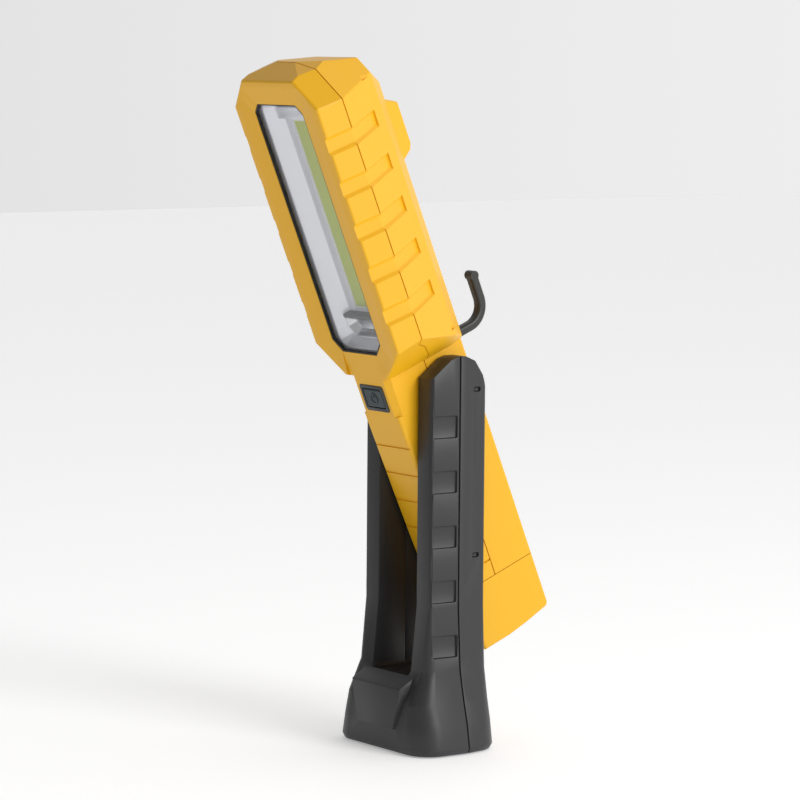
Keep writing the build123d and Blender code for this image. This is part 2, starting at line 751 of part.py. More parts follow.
def contact_spring(y, bottom, top):
    """A flat-wound end spring, as a stepped cone of rings."""
    steps = 3
    rise = (top - bottom) / steps
    ring = None
    for index in range(steps):
        radius = 4.6 - 0.8 * index
        low = bottom + index * rise
        turn = tube(radius, radius - 1.2, (0, y, low), (0, y, low + rise))
        ring = turn if ring is None else ring + turn
    return ring.solid()


def seal_ring(grow, low, high):
    """A rectangular ring round the cap's skirt."""
    inset = WALL - SEAL_THICK - grow
    half = HANDLE_HALF - inset
    return block((-half, handle_front(CAP_JOINT) + inset, low), (half, REAR_Y - inset, high))


def cap_pieces():
    """Battery cap with its skirt, and the seal that sits round the skirt."""
    above_joint = block((-FAR, -FAR, CAP_JOINT - PART_GAP), (FAR, FAR, FAR))
    cap = rounded_handle() - handle_solid(WALL) - above_joint
    skirt_out = WALL + CAP_SKIRT_GAP
    skirt_in = skirt_out + CAP_SKIRT
    band = block((-FAR, -FAR, CAP_JOINT - PART_GAP - 3.0), (FAR, FAR, CAP_JOINT + CAP_SKIRT_LENGTH))
    skirt = (handle_solid(skirt_out) & band) - handle_solid(skirt_in)
    ledge = (handle_solid(WALL - 0.4) & block((-FAR, -FAR, CAP_JOINT - 3.3), (FAR, FAR, CAP_JOINT - PART_GAP)))
    cap = cap + skirt + (ledge - handle_solid(skirt_in))
    seal_low = CAP_JOINT - PART_GAP
    seal = seal_ring(0.0, seal_low, CAP_JOINT + SEAL_HEIGHT) - handle_solid(skirt_out)
    return cap, seal


# ---- Lamp: magnet, hook and pivot bushes ----------------------------------------------------------
BOSS_CROWN = REAR_Y + BOSS_RISE
COVER_FRONT = BOSS_CROWN - COVER_THICK
MAGNET_FRONT = COVER_FRONT - MAGNET_THICK


def magnet_room():
    """The round seat that the cup, the magnet and their cover fill."""
    radius = MAGNET_RADIUS + CUP_WALL
    return rod(radius, (0, MAGNET_FRONT - CUP_WALL, MAGNET_CENTRE), (0, BOSS_CROWN, MAGNET_CENTRE))


def magnet_pieces():
    """Magnet, its steel cup and the thin cover over both."""
    radius = MAGNET_RADIUS + CUP_WALL
    magnet = rod(MAGNET_RADIUS, (0, MAGNET_FRONT, MAGNET_CENTRE), (0, COVER_FRONT, MAGNET_CENTRE))
    cup = rod(radius, (0, MAGNET_FRONT - CUP_WALL, MAGNET_CENTRE), (0, COVER_FRONT, MAGNET_CENTRE))
    cover = rod(radius, (0, COVER_FRONT, MAGNET_CENTRE), (0, BOSS_CROWN, MAGNET_CENTRE))
    return magnet, cup - magnet, cover


def hook_pin():
    """The steel pin that the hook turns on, held at both ends of the bay."""
    half = HOOK_BARREL_LENGTH / 2 + HOOK_PIN_REACH
    return rod(HOOK_PIN_RADIUS, (HOOK_X, HOOK_Y, HOOK_LEG_Z - half), (HOOK_X, HOOK_Y, HOOK_LEG_Z + half))


def hook_solid():
    """The hanging hook, standing straight out of the rear."""
    bend_start = HOOK_Y + HOOK_REACH - HOOK_BEND
    leg = Line((HOOK_Y, HOOK_LEG_Z), (bend_start, HOOK_LEG_Z))
    centre = (bend_start, HOOK_LEG_Z + HOOK_BEND)
    bend = CenterArc(centre, HOOK_BEND, -90, 90)
    tip = Line((HOOK_Y + HOOK_REACH, HOOK_LEG_Z + HOOK_BEND), (HOOK_Y + HOOK_REACH, HOOK_TIP_Z))
    half = HOOK_THICK / 2
    path = Plane.YZ.offset(HOOK_X) * Curve([leg, bend, tip])
    start = Plane(origin=(HOOK_X, HOOK_Y, HOOK_LEG_Z), x_dir=(1, 0, 0), z_dir=(0, 1, 0))
    section = start * RectangleRounded(HOOK_WIDE, HOOK_THICK, 1.4)
    arm = sweep(section, path=path.wires()[0])
    end = Plane.YZ.offset(HOOK_X - HOOK_WIDE / 2) * (Pos(HOOK_Y + HOOK_REACH, HOOK_TIP_Z) * Circle(half))
    arm += extrude(end, HOOK_WIDE)
    barrel_half = HOOK_BARREL_LENGTH / 2
    low = (HOOK_X, HOOK_Y, HOOK_LEG_Z - barrel_half)
    high = (HOOK_X, HOOK_Y, HOOK_LEG_Z + barrel_half)
    bore = HOOK_PIN_RADIUS + PIN_RUNNING_GAP
    return arm + rod(HOOK_BARREL_RADIUS, low, high) - rod(bore, low, high)


def pivot_bushes():
    """Flanged bushes in the two sides of the handle."""
    inner = HANDLE_HALF - WALL
    bore = PIN_RADIUS + PIN_RUNNING_GAP
    sleeve = tube(BUSH_RADIUS, bore, (inner, 0, 0), (HANDLE_HALF, 0, 0))
    flange = tube(BUSH_FLANGE_RADIUS, bore, (inner - BUSH_FLANGE_THICK, 0, 0), (inner, 0, 0))
    return both_sides(sleeve + flange)


# ---- Stand ----------------------------------------------------------------------------------------
STAND_LEVELS = (
    # height, front half, crease half, rear half, front, rear, corner radius
    (
        0.0,
        FOOT_FRONT_HALF - FOOT_EDGE,
        FOOT_CREASE_HALF - FOOT_EDGE,
        FOOT_REAR_HALF - FOOT_EDGE,
        FOOT_FRONT - FOOT_EDGE,
        FOOT_REAR - FOOT_EDGE,
        FOOT_CORNER - FOOT_EDGE,
    ),
    (FOOT_EDGE_RISE, FOOT_FRONT_HALF, FOOT_CREASE_HALF, FOOT_REAR_HALF, FOOT_FRONT, FOOT_REAR, FOOT_CORNER),
    (12.0, FOOT_FRONT_HALF - 1.6, FOOT_CREASE_HALF - 1.6, FOOT_REAR_HALF - 1.2, 23.8, 17.7, 11.0),
    (21.0, 27.8, 28.4, 25.8, 22.6, 16.9, 8.5),
    (34.0, 24.8, 25.4, 23.4, 16.8, 15.4, 4.5),
    (60.0, ARM_FRONT_HALF, CREASE_HALF, ARM_HALF, ARM_DEPTH, ARM_DEPTH, ARM_CORNER),
    (170.0, ARM_FRONT_HALF, CREASE_HALF, ARM_HALF, ARM_DEPTH, ARM_DEPTH, ARM_CORNER),
)


def stand_section(level, inset, height=None):
    """The stand's six-sided outline at one height, with rounded front and rear corners."""
    z, front_half, crease_half, rear_half, front, rear, corner = level
    points = [
        (front_half - inset, -front + inset),
        (crease_half - inset, 0.0),
        (rear_half - inset, rear - inset),
        (-rear_half + inset, rear - inset),
        (-crease_half + inset, 0.0),
        (-front_half + inset, -front + inset),
    ]
    face = make_face(Polyline(points, close=True).edges())
    rounded = [v for v in face.vertices() if abs(v.Y) > 1.0]
    radius = max(corner - inset, 0.6)
    return Plane.XY.offset(z if height is None else height) * fillet(rounded, radius)


def stand_form(inset=0.0):
    """The stand's outside as one block, before the gap between the arms is cut."""
    form = loft([stand_section(level, inset) for level in STAND_LEVELS], ruled=True)
    crown = [
        (-ARM_DEPTH - 20.0, SHELL_LIFT),
        (FOOT_REAR + 20.0, SHELL_LIFT),
        (FOOT_REAR + 20.0, ARM_REAR_TOP - 12.0),
        (ARM_DEPTH, ARM_REAR_TOP),
        (ARM_DEPTH - 2.0, ARM_REAR_TOP + 5.5),
        (8.0, ARM_CREST - 2.0),
        (3.0, ARM_CREST),
        (-1.5, ARM_CREST),
        (-4.5, ARM_CREST - 1.0),
        (-ARM_DEPTH, ARM_FRONT_TOP),
        (-ARM_DEPTH - 20.0, ARM_FRONT_TOP - 12.0),
    ]
    return form & prism_x(crown, -FAR, FAR)


def stand_gap():
    """The gap between the arms, which the handle folds into."""
    gap = block((-GAP_HALF, -FAR, GAP_FLOOR), (GAP_HALF, FAR, FAR))
    low_edges = gap.edges().filter_by(Axis.Y).sort_by(Axis.Z)[:2]
    return fillet(low_edges, GAP_FLOOR_FILLET)


def pockets():
    """Shallow pockets down the front facet of each arm."""
    inner = stand_form(POCKET_DEPTH)
    cuts = []
    for index in range(POCKET_COUNT):
        middle = POCKET_LOWEST + index * POCKET_PITCH
        low = (ARM_HALF - 3.0, POCKET_LIP - ARM_DEPTH, middle - POCKET_HEIGHT / 2)
        high = (FAR, -POCKET_REAR, middle + POCKET_HEIGHT / 2)
        cuts.append(both_sides(block(low, high) - inner))
    return cuts


def foot_panel():
    """The plain raised panel on the front of the foot."""
    side = [
        (-ARM_DEPTH, PANEL_BOTTOM),
        (PANEL_BOTTOM_Y, PANEL_BOTTOM),
        (PANEL_TOP_Y, PANEL_TOP),
        (PANEL_LEDGE_Y, GAP_FLOOR),
        (-ARM_DEPTH, GAP_FLOOR),
    ]
    outline = [
        (PANEL_BOTTOM_HALF, PANEL_BOTTOM),
        (PANEL_TOP_HALF, PANEL_TOP),
        (PANEL_TOP_HALF, GAP_FLOOR),
    ]
    return prism_x(side, -PANEL_TOP_HALF, PANEL_TOP_HALF) & prism_y(mirrored(outline), -FAR, FAR)


def base_post_places():
    """Centres of the posts that take the base screws, as (x, y)."""
    return [(x, y) for x in (-POST_X, POST_X) for y in (POST_FRONT_Y, POST_REAR_Y)]


def stand_shells():
    """Front and rear halves of the stand, parted along the crease."""
    form = stand_form() + foot_panel()
    form -= stand_gap()
    for cut in pockets():
        form -= cut
    for y, z in STAND_NOTCHES:
        form -= side_notch(y, z, ARM_HALF)
    roof = GAP_FLOOR - STAND_WALL
    foot_core = stand_form(STAND_WALL) & block((-FAR, -FAR, -1.0), (FAR, FAR, roof))
    arm_low = (GAP_HALF + STAND_WALL, -ARM_CORE_HALF_DEPTH, ARM_CORE_BOTTOM)
    arm_high = (ARM_HALF - STAND_WALL - 0.4, ARM_CORE_HALF_DEPTH, ARM_CORE_TOP)
    form = form - foot_core - both_sides(block(arm_low, arm_high))
    form -= block((-FAR, -FAR, -1.0), (FAR, FAR, SHELL_LIFT))
    form -= stand_section_block(STAND_WALL, SHELL_LIFT, PLATE_TOP)
    for x, y in base_post_places():
        form += rod(POST_RADIUS, (x, y, PLATE_TOP), (x, y, roof))
        form -= rod(SCREW_RADIUS, (x, y, PLATE_TOP), (x, y, PLATE_TOP + BASE_SCREW_REACH))
    for side in (-1, 1):
        for piece in pivot_pin(side):
            form -= piece
    for screw in stand_screws():
        form -= screw
        form -= screw_access(screw)
    front_space = block((-FAR, -FAR, -FAR), (FAR, 0.0, FAR))
    line = block((-FAR, -LINE_WIDTH, -FAR), (FAR, 0.0, FAR)) - stand_form(LINE_DEPTH)
    return (form & front_space) - line, form - front_space


def screw_access(screw):
    """The straight hole behind a stand screw's head."""
    box = screw.bounding_box()
    middle = box.center()
    return rod(SCREW_HEAD_RADIUS, (middle.X, box.max.Y, middle.Z), (middle.X, FOOT_REAR + 5.0, middle.Z))


def stand_section_block(inset, low, high):
    """The foot's outline at the floor, moved inwards, as a plate between two heights."""
    face = stand_section(STAND_LEVELS[0], inset, low)
    return extrude(face, high - low)


PLATE_BOTTOM = PAD_THICK
PLATE_TOP = PLATE_BOTTOM + PLATE_THICK
BASE_SCREW_REACH = 9.0


def base_pieces():
    """Base plate, rubber pad, magnet and the screws that hold the plate."""
    plate = stand_section_block(STAND_WALL + PLATE_GAP, PLATE_BOTTOM, PLATE_TOP)
    pad = stand_section_block(STAND_WALL + PLATE_GAP, 0.0, PLATE_BOTTOM)
    screws = []
    for x, y in base_post_places():
        head_top = PLATE_BOTTOM + SMALL_SCREW_HEAD_THICK
        head = rod(SCREW_HEAD_RADIUS, (x, y, PLATE_BOTTOM), (x, y, head_top))
        shaft = rod(SCREW_RADIUS, (x, y, head_top), (x, y, PLATE_TOP + BASE_SCREW_REACH))
        screw = head + shaft
        plate -= screw
        screws.append(screw.solid())
    magnet_high = (0, 0, PLATE_TOP + BASE_MAGNET_THICK)
    magnet = rod(BASE_MAGNET_RADIUS, (0, 0, PLATE_TOP), magnet_high)
    return plate, pad, magnet, Compound(screws)


def stand_screws():
    """Screws that hold the two stand shells together."""
    screws = []
    for side in (-1, 1):
        x = side * STAND_SCREW_X
        for z in STAND_SCREW_HEIGHTS:
            seat = ARM_DEPTH - 4.0
            shaft = rod(SCREW_RADIUS, (x, STAND_SCREW_TIP_Y, z), (x, seat, z))
            head = rod(SCREW_HEAD_RADIUS, (x, seat, z), (x, seat + SCREW_HEAD_THICK, z))
            screws.append(shaft + head)
    return screws


def pivot_pin(side):
    """Shaft and collar of one stub pin, from inside the handle wall into the arm."""
    inner = HANDLE_HALF - WALL - 0.5
    outer = GAP_HALF + 4.0
    collar = GAP_HALF + 1.4
    shaft = rod(PIN_RADIUS, (side * inner, 0, PIVOT_HEIGHT), (side * outer, 0, PIVOT_HEIGHT))
    ring_end = collar + PIN_COLLAR_THICK
    ring = rod(PIN_COLLAR_RADIUS, (side * collar, 0, PIVOT_HEIGHT), (side * ring_end, 0, PIVOT_HEIGHT))
    return shaft, ring


def pivot_pins():
    """Both stub pins."""
    return Compound([(shaft + ring).solid() for shaft, ring in (pivot_pin(-1), pivot_pin(1))])


def pivot_washers():
    """Friction washers between the arms and the handle."""
    inner = GAP_HALF - WASHER_THICK
    ring = tube(WASHER_RADIUS, PIN_RADIUS, (inner, 0, PIVOT_HEIGHT), (GAP_HALF, 0, PIVOT_HEIGHT))
    return both_sides(ring)


# ---- Build and write every piece ------------------------------------------------------------------
def lamp_pieces():
    """Every piece that is placed in the lamp frame."""
    front_housing, rear_housing = housing_shells()
    surround, button, button_back = switch_pieces()
    board, tact, board_screws = driver_pieces(button_back)
    cassette, cells, springs, plates = battery_pieces()
    cap, seal = cap_pieces()
    magnet, cup, cover = magnet_pieces()
    pieces = window_pieces()
    pieces.update({
        "front_housing": front_housing,
        "rear_housing": rear_housing,
        "housing_screws": Compound([screw.solid() for screw in housing_screws()]),
        "switch_surround": surround,
        "switch_button": button,
        "driver_board": board,
        "tactile_switch": tact,
        "board_screws": Compound([screw.solid() for screw in board_screws]),
        "battery_cassette": cassette,
        "battery_cells": cells,
        "contact_springs": springs,
        "contact_plates": plates,
        "battery_cap": cap,
        "cap_seal": seal,
        "head_magnet": magnet,
        "magnet_cup": cup,
        "magnet_cover": cover,
        "hook": hook_solid(),
        "hook_pin": hook_pin(),
        "pivot_bushes": pivot_bushes(),
    })
    return pieces


def stand_pieces():
    """Every piece of the stand, in the row frame."""
    front_shell, rear_shell = stand_shells()
    plate, pad, magnet, base_screws = base_pieces()
    return {
        "stand_front_shell": front_shell,
        "stand_rear_shell": rear_shell,
        "stand_screws": Compound([screw.solid() for screw in stand_screws()]),
        "base_plate": plate,
        "foot_pad": pad,
        "base_magnet": magnet,
        "base_screws": base_screws,
        "pivot_pins": pivot_pins(),
        "pivot_washers": pivot_washers(),
    }


os.makedirs("parts", exist_ok=True)
everything = {name: LAMP_PLACE * piece for name, piece in lamp_pieces().items()}
everything.update(stand_pieces())
for name, piece in everything.items():
    export_step(piece, f"parts/{name}.step")
print(len(everything), "pieces written")
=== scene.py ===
# %% [markdown]
# # A battery work light with a folding stand
# This lesson takes the engineering model of a work light and gives it the finish of the real thing.
# The light has a moulded yellow body with a long window, and hangs between the arms of a dark stand.
# Every piece of the engineering model keeps its place and size. We add finishes, and we model again
# the few pieces whose character is in small shapes: the silvered tray behind the window, the light
# strip and the rubber switch. The stand's screws get new heads, and its shells get softer edges.

# %% Load the frame
import math

import bmesh
import bpy
from mathutils import Matrix, Vector


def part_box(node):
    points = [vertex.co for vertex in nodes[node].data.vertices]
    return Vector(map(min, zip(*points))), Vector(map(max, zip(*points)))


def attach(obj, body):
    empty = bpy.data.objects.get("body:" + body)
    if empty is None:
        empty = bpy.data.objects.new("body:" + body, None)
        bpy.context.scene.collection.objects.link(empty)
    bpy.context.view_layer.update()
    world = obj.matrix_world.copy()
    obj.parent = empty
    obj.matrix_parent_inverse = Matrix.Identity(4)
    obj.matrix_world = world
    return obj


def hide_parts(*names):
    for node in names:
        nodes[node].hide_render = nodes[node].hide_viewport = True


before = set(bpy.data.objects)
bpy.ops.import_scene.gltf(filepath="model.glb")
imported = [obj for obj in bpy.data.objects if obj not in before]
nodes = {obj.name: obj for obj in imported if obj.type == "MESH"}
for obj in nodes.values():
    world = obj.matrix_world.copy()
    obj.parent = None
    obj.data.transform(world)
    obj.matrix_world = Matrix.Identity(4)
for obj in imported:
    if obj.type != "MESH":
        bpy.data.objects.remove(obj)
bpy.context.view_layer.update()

print("pieces in the frame:", len(nodes))

# %% [markdown]
# ## Where the lamp sits
# The lamp leans forward on its pivot. It is far easier to model its pieces upright and lean them at
# the end, as a maker would work on a bench. So we keep two matrices: one that leans a finished piece
# into place, and its inverse, which stands a measurement upright again.

# %% The lamp's own frame
MM = 0.001
PIVOT_HEIGHT = 136.6 * MM
LEAN = math.radians(22.4)
LAMP = Matrix.Translation((0, 0, PIVOT_HEIGHT)) @ Matrix.Rotation(LEAN, 4, "X")
ROW = Matrix.Identity(4)
UPRIGHT = LAMP.inverted()


def lamp_box(node):
    """Lowest and highest corner of a node in the lamp's own frame."""
    corners = [UPRIGHT @ vertex.co for vertex in nodes[node].data.vertices]
    low = Vector([min(c[i] for c in corners) for i in range(3)])
    high = Vector([max(c[i] for c in corners) for i in range(3)])
    return low, high


window_low, window_high = lamp_box("reflector")
strip_low, strip_high = lamp_box("cob_phosphor")
button_low, button_high = lamp_box("switch_button")
print("tray, mm:", [round(v / MM, 1) for v in (*window_low, *window_high)])
print("strip, mm:", [round(v / MM, 1) for v in (*strip_low, *strip_high)])
print("button, mm:", [round(v / MM, 1) for v in (*button_low, *button_high)])

# %% [markdown]
# ## Small helpers
# Blender's operators act on whatever is selected, so each piece starts with nothing selected. A new
# primitive is added at its real size and place, shaped in edit mode, and finally leaned into place by
# moving its mesh. The object itself stays at the origin, unturned and unscaled.


# %% Helpers for modelling
SHARP_ANGLE = 35


def clear_selection():
    """Leaves object mode with nothing selected."""
    if bpy.context.object and bpy.context.object.mode != "OBJECT":
        bpy.ops.object.mode_set(mode="OBJECT")
    bpy.ops.object.select_all(action="DESELECT")


def activate(piece):
    """Selects one piece and nothing else."""
    clear_selection()
    bpy.context.view_layer.objects.active = piece
    piece.select_set(True)


def new_box(name, low, high):
    """A box between two corners given in millimetres."""
    clear_selection()
    size = [(b - a) * MM for a, b in zip(low, high)]
    middle = [(a + b) / 2 * MM for a, b in zip(low, high)]
    bpy.ops.mesh.primitive_cube_add(size=1, location=middle)
    piece = bpy.context.object
    piece.name = piece.data.name = name
    piece.scale = size
    bpy.ops.object.transform_apply(location=True, rotation=True, scale=True)
    return piece


def new_rod(name, radius, start, end, sides=48):
    """A round bar between two points given in millimetres."""
    clear_selection()
    run = (Vector(end) - Vector(start)) * MM
    bpy.ops.mesh.primitive_cylinder_add(vertices=sides, radius=radius * MM, depth=run.length)
    piece = bpy.context.object
    piece.name = piece.data.name = name
    turn = Vector((0, 0, 1)).rotation_difference(run).to_matrix().to_4x4()
    piece.matrix_world = Matrix.Translation((Vector(start) + Vector(end)) / 2 * MM) @ turn
    bpy.ops.object.transform_apply(location=True, rotation=True, scale=True)
    return piece


def select_faces(piece, chosen):
    """Goes into edit mode with the faces that chosen(centre in mm, normal) picks."""
    activate(piece)
    bpy.ops.object.mode_set(mode="EDIT")
    bpy.ops.mesh.select_mode(type="FACE")
    bpy.ops.mesh.select_all(action="DESELECT")
    mesh = bmesh.from_edit_mesh(piece.data)
    count = 0
    for face in mesh.faces:
        if chosen(face.calc_center_median() / MM, face.normal):
            face.select_set(True)
            count += 1
    bmesh.update_edit_mesh(piece.data)
    return count


def apply_modifier(piece, kind, **settings):
    """Adds a modifier with its settings and applies it."""
    activate(piece)
    modifier = piece.modifiers.new(kind.lower(), kind)
    for key, value in settings.items():
        setattr(modifier, key, value)
    bpy.ops.object.modifier_apply(modifier=modifier.name)


def soften(piece, width, segments=2, angle=SHARP_ANGLE):
    """Rounds every edge sharper than an angle, and shades what is nearly flat smoothly."""
    apply_modifier(
        piece,
        "BEVEL",
        width=width * MM,
        segments=segments,
        limit_method="ANGLE",
        angle_limit=math.radians(angle),
        harden_normals=False,
        use_clamp_overlap=True,
    )
    activate(piece)
    bpy.ops.object.shade_smooth_by_angle(angle=math.radians(40))


def cut(piece, *tools):
    """Takes the tools away from the piece, and removes them."""
    for tool in tools:
        apply_modifier(piece, "BOOLEAN", operation="DIFFERENCE", object=tool, solver="EXACT")
        bpy.data.objects.remove(tool)


def join(piece, *others):
    """Makes one piece of several that need not be fused."""
    clear_selection()
    for other in (*others, piece):
        other.select_set(True)
    bpy.context.view_layer.objects.active = piece
    bpy.ops.object.join()
    return piece


def finish(piece, body, material, place=LAMP, replaces=()):
    """Puts a finished piece in its place, on its body, and gives it its finish."""
    clear_selection()
    piece.data.transform(place)
    piece.data.materials.clear()
    piece.data.materials.append(material)
    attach(piece, body)
    if replaces:
        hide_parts(*replaces)
    print(piece.name, "faces:", len(piece.data.polygons))
    return piece


# %% [markdown]
# ## Finishes
# The body is an injection moulding in a coloured plastic. Its tool is spark eroded, which leaves a
# very fine grain and a satin gloss. We build that grain from noise in the piece's own coordinates, so
# that it stays with the piece when the piece moves. A colour that is the same all over is set on the
# shader itself; what varies is the small relief and the gloss.


# %% Helpers for materials
def new_material(name, colour, roughness, metallic=0.0, **sockets):
    """A principled material with its plain values set on the shader."""
    material = bpy.data.materials.new(name)
    material.use_nodes = True
    shader = material.node_tree.nodes["Principled BSDF"]
    shader.inputs["Base Color"].default_value = (*colour, 1)
    shader.inputs["Roughness"].default_value = roughness
    shader.inputs["Metallic"].default_value = metallic
    for socket, value in sockets.items():
        shader.inputs[socket.replace("_", " ")].default_value = value
    return material


def add(material, kind, **inputs):
    """A node in a material, with values on its inputs."""
    node = material.node_tree.nodes.new(kind)
    for socket, value in inputs.items():
        node.inputs[socket.replace("_", " ")].default_value = value
    return node


def link(material, source, output, target, socket):
    """Joins two nodes of a material."""
    material.node_tree.links.new(source.outputs[output], target.inputs[socket])


def add_grain(material, scale, height, gloss=None):
    """A fine moulded grain in the relief, and patches that differ a little in gloss."""
    shader = material.node_tree.nodes["Principled BSDF"]
    place = add(material, "ShaderNodeTexCoord")
    grain = add(material, "ShaderNodeTexNoise", Scale=scale, Detail=3.0, Roughness=0.6)
    bump = add(material, "ShaderNodeBump", Strength=0.35, Distance=height * MM)
    link(material, place, "Object", grain, "Vector")
    link(material, grain, "Fac", bump, "Height")
    link(material, bump, "Normal", shader, "Normal")
    if gloss:
        patches = add(material, "ShaderNodeTexNoise", Scale=55.0, Detail=2.0)
        spread = add(material, "ShaderNodeMapRange")
        spread.inputs["To Min"].default_value = gloss[0]
        spread.inputs["To Max"].default_value = gloss[1]
        link(material, place, "Object", patches, "Vector")
        link(material, patches, "Fac", spread, "Value")
        link(material, spread, "Result", shader, "Roughness")
    return material


# %% The plastics and rubbers
yellow = new_material("yellow_plastic", (0.80, 0.42, 0.008), 0.42, Specular_IOR_Level=0.4)
add_grain(yellow, 2600.0, 0.02, (0.37, 0.47))
stand_dark = new_material("stand_plastic", (0.021, 0.021, 0.023), 0.46, Specular_IOR_Level=0.5)
add_grain(stand_dark, 2200.0, 0.03, (0.40, 0.52))
hook_dark = new_material("hook_plastic", (0.022, 0.022, 0.019), 0.40)
add_grain(hook_dark, 2400.0, 0.02)
base_dark = add_grain(new_material("base_plastic", (0.03, 0.03, 0.032), 0.6), 1800.0, 0.03)
pad_black = add_grain(new_material("pad_rubber", (0.017, 0.017, 0.017), 0.85), 1500.0, 0.05)
rim_black = new_material("rim_rubber", (0.008, 0.008, 0.008), 0.55)
surround_dark = add_grain(new_material("surround_plastic", (0.012, 0.014, 0.015), 0.42), 2400.0, 0.02)
button_rubber = add_grain(new_material("button_rubber", (0.030, 0.046, 0.050), 0.55), 2000.0, 0.02)
print("plastics made:", len(bpy.data.materials))

# %% [markdown]
# The metals, the clear window and the glowless light strip are each one shader with a few constants.
# The window is thin clear plastic. It lets light straight through and adds a faint reflection, so we
# make it mostly see-through instead of refracting: the tray behind it then keeps its light.

# %% Metals, window and strip
silvered = new_material("silvered_tray", (0.80, 0.80, 0.86), 0.30, 0.55)
add_grain(silvered, 420.0, 0.015)
bright_metal = new_material("bright_tray_end", (0.62, 0.62, 0.64), 0.16, 1.0)
steel = new_material("zinc_plated_steel", (0.52, 0.52, 0.53), 0.34, 1.0)
aluminium = new_material("aluminium", (0.68, 0.68, 0.69), 0.38, 1.0)
nickel = new_material("nickel_plating", (0.62, 0.61, 0.58), 0.22, 1.0)
nylon = new_material("natural_nylon", (0.74, 0.72, 0.66), 0.5)
board_white = new_material("white_board", (0.75, 0.75, 0.72), 0.45)
board_green = new_material("green_board", (0.02, 0.12, 0.04), 0.35)
cell_sleeve = new_material("cell_sleeve", (0.09, 0.11, 0.15), 0.25)
black_plastic = new_material("black_plastic", (0.02, 0.02, 0.02), 0.5)
clear = new_material("clear_window", (0.9, 0.92, 0.95), 0.05, Alpha=0.10)
clear.surface_render_method = "BLENDED"
phosphor = new_material("phosphor_strip", (0.44, 0.52, 0.035), 0.38, Subsurface_Weight=0.15)
phosphor.node_tree.nodes["Principled BSDF"].inputs["Subsurface Scale"].default_value = 0.4 * MM
add_grain(phosphor, 900.0, 0.03)

# %% [markdown]
# ## Paint the frame
# Every piece of the frame gets its finish, even those inside, because the model can be taken apart.
# A moulded shell can't have a perfectly sharp edge. Where the frame has one, a narrow bevel catches
# the light, as the real edge does. We work on a copy for that, with its loose triangles joined first.

# %% Give each piece its finish
finish_of = {
    yellow: "front_housing rear_housing battery_cap magnet_cover",
    stand_dark: "stand_front_shell stand_rear_shell",
    base_dark: "base_plate",
    pad_black: "foot_pad",
    rim_black: "lens_gasket cap_seal",
    surround_dark: "switch_surround",
    button_rubber: "switch_button",
    hook_dark: "hook",
    silvered: "reflector",
    steel: (
        "stand_screws base_screws housing_screws board_screws heat_sink_screws "
        "pivot_pins hook_pin magnet_cup"
    ),
    aluminium: "heat_sink",
    nickel: "base_magnet head_magnet contact_springs contact_plates",
    nylon: "pivot_washers pivot_bushes",
    board_white: "cob_board",
    board_green: "driver_board",
    cell_sleeve: "battery_cells",
    black_plastic: "battery_cassette tactile_switch",
    clear: "lens",
    phosphor: "cob_phosphor",
}
painted = 0
for material, names in finish_of.items():
    for name in names.split():
        nodes[name].data.materials.clear()
        nodes[name].data.materials.append(material)
        painted += 1
print("painted", painted, "of", len(nodes))


# %% Soft-edged copies of the moulded shells
def soft_copy(node, name, body, material, width):
    """A copy of a frame piece with its triangles joined and its sharp edges rounded."""
    piece = nodes[node].copy()
    piece.data = nodes[node].data.copy()
    for key in list(piece.keys()):
        del piece[key]
    piece.parent = None
    piece.name = piece.data.name = name
    bpy.context.scene.collection.objects.link(piece)
    activate(piece)
    bpy.ops.object.mode_set(mode="EDIT")
    bpy.ops.mesh.select_all(action="SELECT")
    bpy.ops.mesh.remove_doubles(threshold=0.002 * MM)
    bpy.ops.mesh.dissolve_limited(angle_limit=math.radians(0.5))
    bpy.ops.object.mode_set(mode="OBJECT")
    apply_modifier(
        piece,
        "BEVEL",
        width=width * MM,
        segments=2,
        limit_method="ANGLE",
        angle_limit=math.radians(SHARP_ANGLE),
        use_clamp_overlap=False,
        miter_outer="MITER_ARC",
    )
    activate(piece)
    bpy.ops.object.shade_smooth_by_angle(angle=math.radians(32))
    return finish(piece, body, material, ROW, [node])


# %% [markdown]
# ## The silvered tray
# Behind the window is a pressed tray with sloping walls, silvered to throw the light forward. It has
# a raised step above the strip, and below the strip a bright well with a small ribbed block. We start
# from a plate a little larger than the window, inset its front face and push it back, which is the
# same thing as pressing a sheet into a mould.

# %% Model the tray
WINDOW_HALF = 16.5
WINDOW_LOW = 39.1
WINDOW_HIGH = 147.5
TRAY_RIM = 2.2       # the tray reaches this far past the window
TRAY_CORNER = 4.0
SKIN = 0.02          # keeps the tray's faces just inside those of the frame
STRIP_GAP = 0.25     # clearance round the strip
tray_front = window_low.y / MM
tray_floor = window_high.y / MM
strip_front = strip_low.y / MM
strip_bottom = strip_low.z / MM
strip_top = strip_high.z / MM
strip_half = strip_high.x / MM
print("tray depth:", round(tray_floor - tray_front, 2))


def front_facing(y):
    """Picks the faces at one depth that look forward."""
    return lambda centre, normal: normal.y < -0.9 and abs(centre.y - y) < 0.05


def chamfer_corners(piece, width, places):
    """Cuts off the upright corners whose middle is at one of the given (x, z) places."""
    activate(piece)
    bpy.ops.object.mode_set(mode="EDIT")
    bpy.ops.mesh.select_mode(type="EDGE")
    bpy.ops.mesh.select_all(action="DESELECT")
    mesh = bmesh.from_edit_mesh(piece.data)
    for edge in mesh.edges:
        middle = (edge.verts[0].co + edge.verts[1].co) / 2 / MM
        run = (edge.verts[0].co - edge.verts[1].co).normalized()
        if abs(run.y) > 0.99:
            edge.select_set(any(abs(middle.x - x) + abs(middle.z - z) < 0.1 for x, z in places))
    bmesh.update_edit_mesh(piece.data)
    bpy.ops.mesh.bevel(offset=width * MM, offset_type="OFFSET", segments=1, affect="EDGES")
    bpy.ops.object.mode_set(mode="OBJECT")


